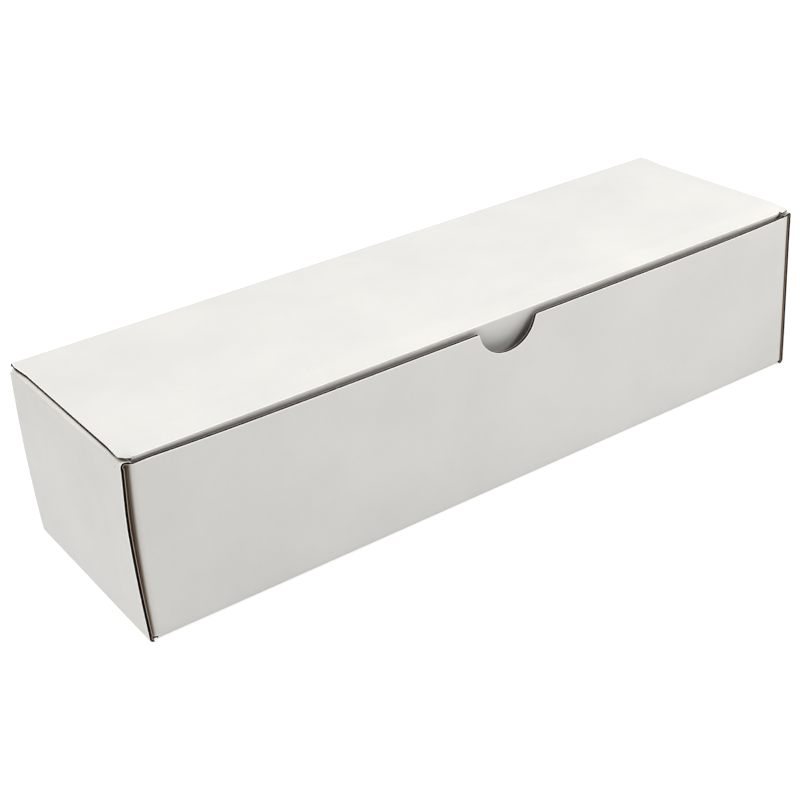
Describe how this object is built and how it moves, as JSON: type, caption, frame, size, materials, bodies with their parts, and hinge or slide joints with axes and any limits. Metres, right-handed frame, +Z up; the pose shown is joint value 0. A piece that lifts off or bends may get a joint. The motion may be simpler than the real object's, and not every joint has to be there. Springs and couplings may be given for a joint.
{
  "type": "card storage box",
  "caption": "Long low white corrugated card box with roll-over ends, a hinged lid with a tuck flap and a thumb notch in the front.",
  "frame": {"origin": "centre of the closed box's outline, on the underside", "axes": "+X along the box's length, +Y from the front wall to the back wall, +Z up"},
  "size_m": [0.345, 0.1, 0.081],
  "materials": {
    "white_liner": "matt bleached white paper",
    "brown_medium": "raw brown fluting paper",
    "brown_liner": "matt brown kraft paper"
  },
  "bodies": {
    "box": {"back_bottom_fold": "white_liner", "back_left_corner_flap_fluted_medium": "brown_medium", "back_left_corner_flap_inner_liner": "brown_liner", "back_left_corner_flap_outer_liner": "white_liner", "back_left_corner_fold": "white_liner", "back_right_corner_flap_fluted_medium": "brown_medium", "back_right_corner_flap_inner_liner": "brown_liner", "back_right_corner_flap_outer_liner": "white_liner", "back_right_corner_fold": "white_liner", "back_wall_fluted_medium": "brown_medium", "back_wall_inner_liner": "brown_liner", "back_wall_outer_liner": "white_liner", "bottom_fluted_medium": "brown_medium", "bottom_inner_liner": "brown_liner", "bottom_outer_liner": "white_liner", "front_bottom_fold": "white_liner", "front_left_corner_flap_fluted_medium": "brown_medium", "front_left_corner_flap_inner_liner": "brown_liner", "front_left_corner_flap_outer_liner": "white_liner", "front_left_corner_fold": "white_liner", "front_right_corner_flap_fluted_medium": "brown_medium", "front_right_corner_flap_inner_liner": "brown_liner", "front_right_corner_flap_outer_liner": "white_liner", "front_right_corner_fold": "white_liner", "front_wall_fluted_medium": "brown_medium", "front_wall_inner_liner": "brown_liner", "front_wall_outer_liner": "white_liner", "left_bottom_fold": "white_liner", "left_inner_end_fluted_medium": "brown_medium", "left_inner_end_inner_liner": "brown_liner", "left_inner_end_outer_liner": "white_liner", "left_outer_end_fluted_medium": "brown_medium", "left_outer_end_inner_liner": "brown_liner", "left_outer_end_outer_liner": "white_liner", "left_roll_over": "white_liner", "lid_hinge_fold": "white_liner", "right_bottom_fold": "white_liner", "right_inner_end_fluted_medium": "brown_medium", "right_inner_end_inner_liner": "brown_liner", "right_inner_end_outer_liner": "white_liner", "right_outer_end_fluted_medium": "brown_medium", "right_outer_end_inner_liner": "brown_liner", "right_outer_end_outer_liner": "white_liner", "right_roll_over": "white_liner"},
    "lid": {"lid_fluted_medium": "brown_medium", "lid_inner_liner": "brown_liner", "lid_outer_liner": "white_liner", "tuck_fold": "white_liner"},
    "tuck_flap": {"tuck_flap_fluted_medium": "brown_medium", "tuck_flap_inner_liner": "brown_liner", "tuck_flap_outer_liner": "white_liner"}
  },
  "joints": [
    {"name": "lid_hinge", "type": "hinge", "parent": "box", "child": "lid", "pos_m": [0, 0.0495, 0.0805], "axis": [-1, 0, 0], "range_deg": [0, 180], "deforming": ["lid_hinge_fold"]},
    {"name": "tuck_flap_crease", "type": "hinge", "parent": "lid", "child": "tuck_flap", "pos_m": [0, -0.0463, 0.0793], "axis": [1, 0, 0], "range_deg": [-10, 75], "deforming": ["tuck_fold"]}
  ]
}
